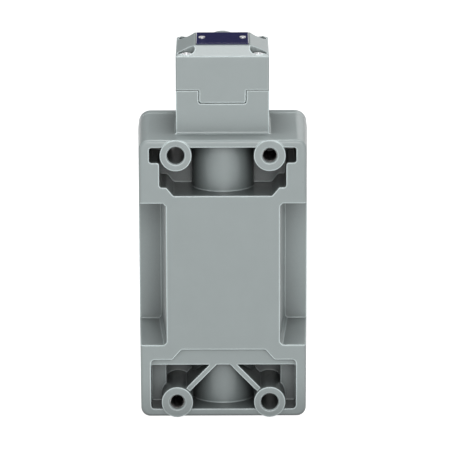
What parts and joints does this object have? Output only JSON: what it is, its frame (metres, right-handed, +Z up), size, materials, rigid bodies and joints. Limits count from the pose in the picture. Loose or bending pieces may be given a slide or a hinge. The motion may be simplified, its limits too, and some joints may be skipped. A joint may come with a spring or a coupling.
{
  "type": "hazardous location limit switch",
  "caption": "Heavy die-cast limit switch enclosure with a bolted cover, a rotary head on a square neck, mounting bosses at the back and a conduit entry below.",
  "frame": {"origin": "centre of the mounting hole pattern, in the plane of the four boss faces at the back", "axes": "+Z up to the head, -Y to the cover and the shaft, +Y out of the mounting face, +X to the left as seen from behind"},
  "size_m": [0.074, 0.068, 0.1636],
  "materials": {
    "casting": "grey enamel over a sand-textured die casting",
    "seal_rubber": "matt black",
    "plated_steel": "zinc plated",
    "plate_blue": "dark blue enamel on aluminium, bare of words",
    "bright_rivet": "bright",
    "stainless_shaft": "ground stainless steel",
    "hard_steel": "hardened and ground",
    "spring_steel": "spring steel",
    "bronze": "sintered bronze",
    "brass": "stamped brass",
    "silver_tip": "silver",
    "moulding_black": "moulded thermoset",
    "moulding_white": "moulded acetal"
  },
  "bodies": {
    "enclosure": {"block_cap": "moulding_black", "block_screws": "plated_steel", "contact_block": "moulding_black", "contact_tips": "silver_tip", "cover_gasket": "seal_rubber", "cover_screws": "plated_steel", "fixed_contacts": "brass", "front_cover": "casting", "front_spring": "spring_steel", "ground_clamp": "brass", "ground_screw": "plated_steel", "head_casting": "casting", "head_gasket": "seal_rubber", "head_screws": "plated_steel", "housing": "casting", "identification_plate": "plate_blue", "plate_rivets": "bright_rivet", "plunger_guide": "bronze", "rear_bushing": "bronze", "rear_spring": "spring_steel", "return_spring": "spring_steel", "rod_bushings": "bronze", "shaft_bushing": "bronze", "shaft_seal": "seal_rubber", "terminal_screws": "plated_steel"},
    "shaft": {"operating_shaft": "stainless_shaft", "front_cam": "hard_steel", "rear_cam": "hard_steel", "retaining_ring": "spring_steel"},
    "front_drive": {"front_plunger": "stainless_shaft", "front_rod": "stainless_shaft", "front_carrier": "moulding_white", "front_bridge": "brass"},
    "rear_drive": {"rear_plunger": "stainless_shaft", "rear_rod": "stainless_shaft", "rear_carrier": "moulding_white", "rear_bridge": "brass"}
  },
  "joints": [
    {"name": "shaft_turn", "type": "hinge", "parent": "enclosure", "child": "shaft", "pos_m": [0, -0.0309, 0.0886], "axis": [0, 1, 0], "range_deg": [-75, 75], "stiffness_Nm_per_rad": 0.08},
    {"name": "front_drive_slide", "type": "slide", "parent": "enclosure", "child": "front_drive", "axis": [0, 0, 1], "range_m": [-0.0017, 0.0017], "deforming": ["front_spring"]},
    {"name": "rear_drive_slide", "type": "slide", "parent": "enclosure", "child": "rear_drive", "axis": [0, 0, 1], "range_m": [-0.0017, 0.0017], "deforming": ["rear_spring"]}
  ],
  "couplings": [
    {"joint": "shaft_turn", "follows": "front_drive_slide", "rad_per_m": -769.23},
    {"joint": "rear_drive_slide", "follows": "front_drive_slide", "ratio": -1}
  ]
}
